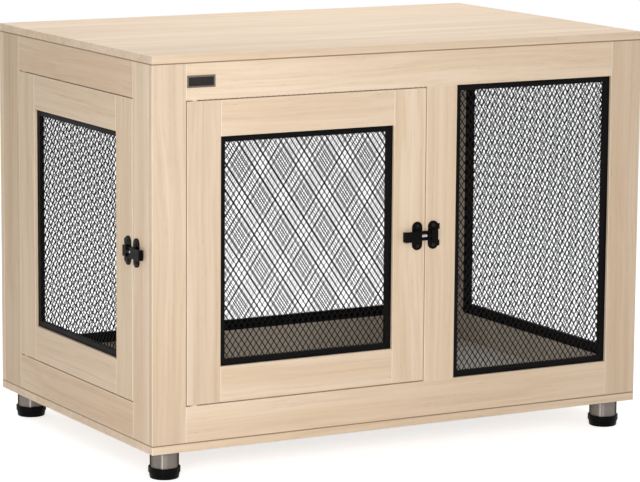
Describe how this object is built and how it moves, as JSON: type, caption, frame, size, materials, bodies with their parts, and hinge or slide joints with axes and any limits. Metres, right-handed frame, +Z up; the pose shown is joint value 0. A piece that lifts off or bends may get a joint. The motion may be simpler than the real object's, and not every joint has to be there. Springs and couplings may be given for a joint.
{
  "type": "dog crate end table",
  "caption": "Oak-faced end table that is a dog crate: a mesh-walled cabin with a door in the front and one in the left side, each shut by a sliding bolt.",
  "frame": {"origin": "on the floor, at the middle of the bounding box", "axes": "+Z up, +X along the front to the right as seen from the front, -Y out of the front"},
  "size_m": [1.0116, 0.6514, 0.74],
  "materials": {
    "oak": "pale oak grain on flat boards, matt",
    "black_steel": "black powder coat, satin",
    "latch_black": "black paint, satin",
    "bright_steel": "bright turned steel",
    "screw_black": "blackened steel",
    "cam_zinc": "dull cast zinc",
    "leg_steel": "steel tube brushed around",
    "foot_plastic": "black moulded plastic",
    "nylon": "natural nylon",
    "stop_plastic": "black moulded plastic",
    "plate_rim": "bare satin metal",
    "plate_dark": "dark blank inlay"
  },
  "bodies": {
    "cabinet": {"top_board": "oak", "bottom_board": "oak", "front_left_stile": "oak", "front_right_stile": "oak", "front_centre_stile": "oak", "front_top_rail": "oak", "front_bottom_rail": "oak", "back_stiles": "oak", "back_rails": "oak", "right_stiles": "oak", "right_rails": "oak", "left_front_post": "oak", "left_back_stile": "oak", "left_rails": "oak", "front_mesh_frame": "black_steel", "front_mesh": "black_steel", "back_mesh_frame": "black_steel", "back_mesh": "black_steel", "right_mesh_frame": "black_steel", "right_mesh": "black_steel", "front_keeper": "latch_black", "side_bolt_housing": "latch_black", "front_keeper_socket": "bright_steel", "cam_bolts": "bright_steel", "cabinet_screws": "screw_black", "leg_screws": "screw_black", "cam_locks": "cam_zinc", "leg_front_left": "leg_steel", "leg_front_right": "leg_steel", "leg_back_left": "leg_steel", "leg_back_right": "leg_steel", "pivot_bushes": "nylon", "door_stops": "stop_plastic", "nameplate_bezel": "plate_rim", "nameplate_inlay": "plate_dark"},
    "front_door": {"front_door_hinge_stile": "oak", "front_door_latch_stile": "oak", "front_door_rails": "oak", "front_door_mesh_frame": "black_steel", "front_door_mesh": "black_steel", "front_door_pins": "bright_steel", "front_door_screws": "screw_black", "front_bolt_housing": "latch_black"},
    "side_door": {"side_door_hinge_stile": "oak", "side_door_latch_stile": "oak", "side_door_rails": "oak", "side_door_mesh_frame": "black_steel", "side_door_mesh": "black_steel", "side_door_pins": "bright_steel", "side_door_screws": "screw_black", "side_keeper": "latch_black", "side_keeper_socket": "bright_steel"},
    "front_bolt": {"front_bolt_rod": "bright_steel", "front_thumb_slide": "latch_black"},
    "side_bolt": {"side_bolt_rod": "bright_steel", "side_thumb_slide": "latch_black"},
    "foot_front_left": {"foot_front_left": "foot_plastic"},
    "foot_front_right": {"foot_front_right": "foot_plastic"},
    "foot_back_left": {"foot_back_left": "foot_plastic"},
    "foot_back_right": {"foot_back_right": "foot_plastic"}
  },
  "joints": [
    {"name": "front_door_hinge", "type": "hinge", "parent": "cabinet", "child": "front_door", "pos_m": [-0.41125, -0.30675, 0.395], "axis": [0, 0, -1], "range_deg": [0, 110]},
    {"name": "side_door_hinge", "type": "hinge", "parent": "cabinet", "child": "side_door", "pos_m": [-0.48675, 0.22075, 0.395], "axis": [0, 0, -1], "range_deg": [0, 110]},
    {"name": "front_bolt_slide", "type": "slide", "parent": "front_door", "child": "front_bolt", "axis": [1, 0, 0], "range_m": [0, 0.01]},
    {"name": "side_bolt_slide", "type": "slide", "parent": "cabinet", "child": "side_bolt", "axis": [0, 1, 0], "range_m": [0, 0.01]},
    {"name": "foot_front_left_screw", "type": "slide", "parent": "cabinet", "child": "foot_front_left", "axis": [0, 0, -1], "range_m": [0, 0.008]},
    {"name": "foot_front_right_screw", "type": "slide", "parent": "cabinet", "child": "foot_front_right", "axis": [0, 0, -1], "range_m": [0, 0.008]},
    {"name": "foot_back_left_screw", "type": "slide", "parent": "cabinet", "child": "foot_back_left", "axis": [0, 0, -1], "range_m": [0, 0.008]},
    {"name": "foot_back_right_screw", "type": "slide", "parent": "cabinet", "child": "foot_back_right", "axis": [0, 0, -1], "range_m": [0, 0.008]}
  ]
}
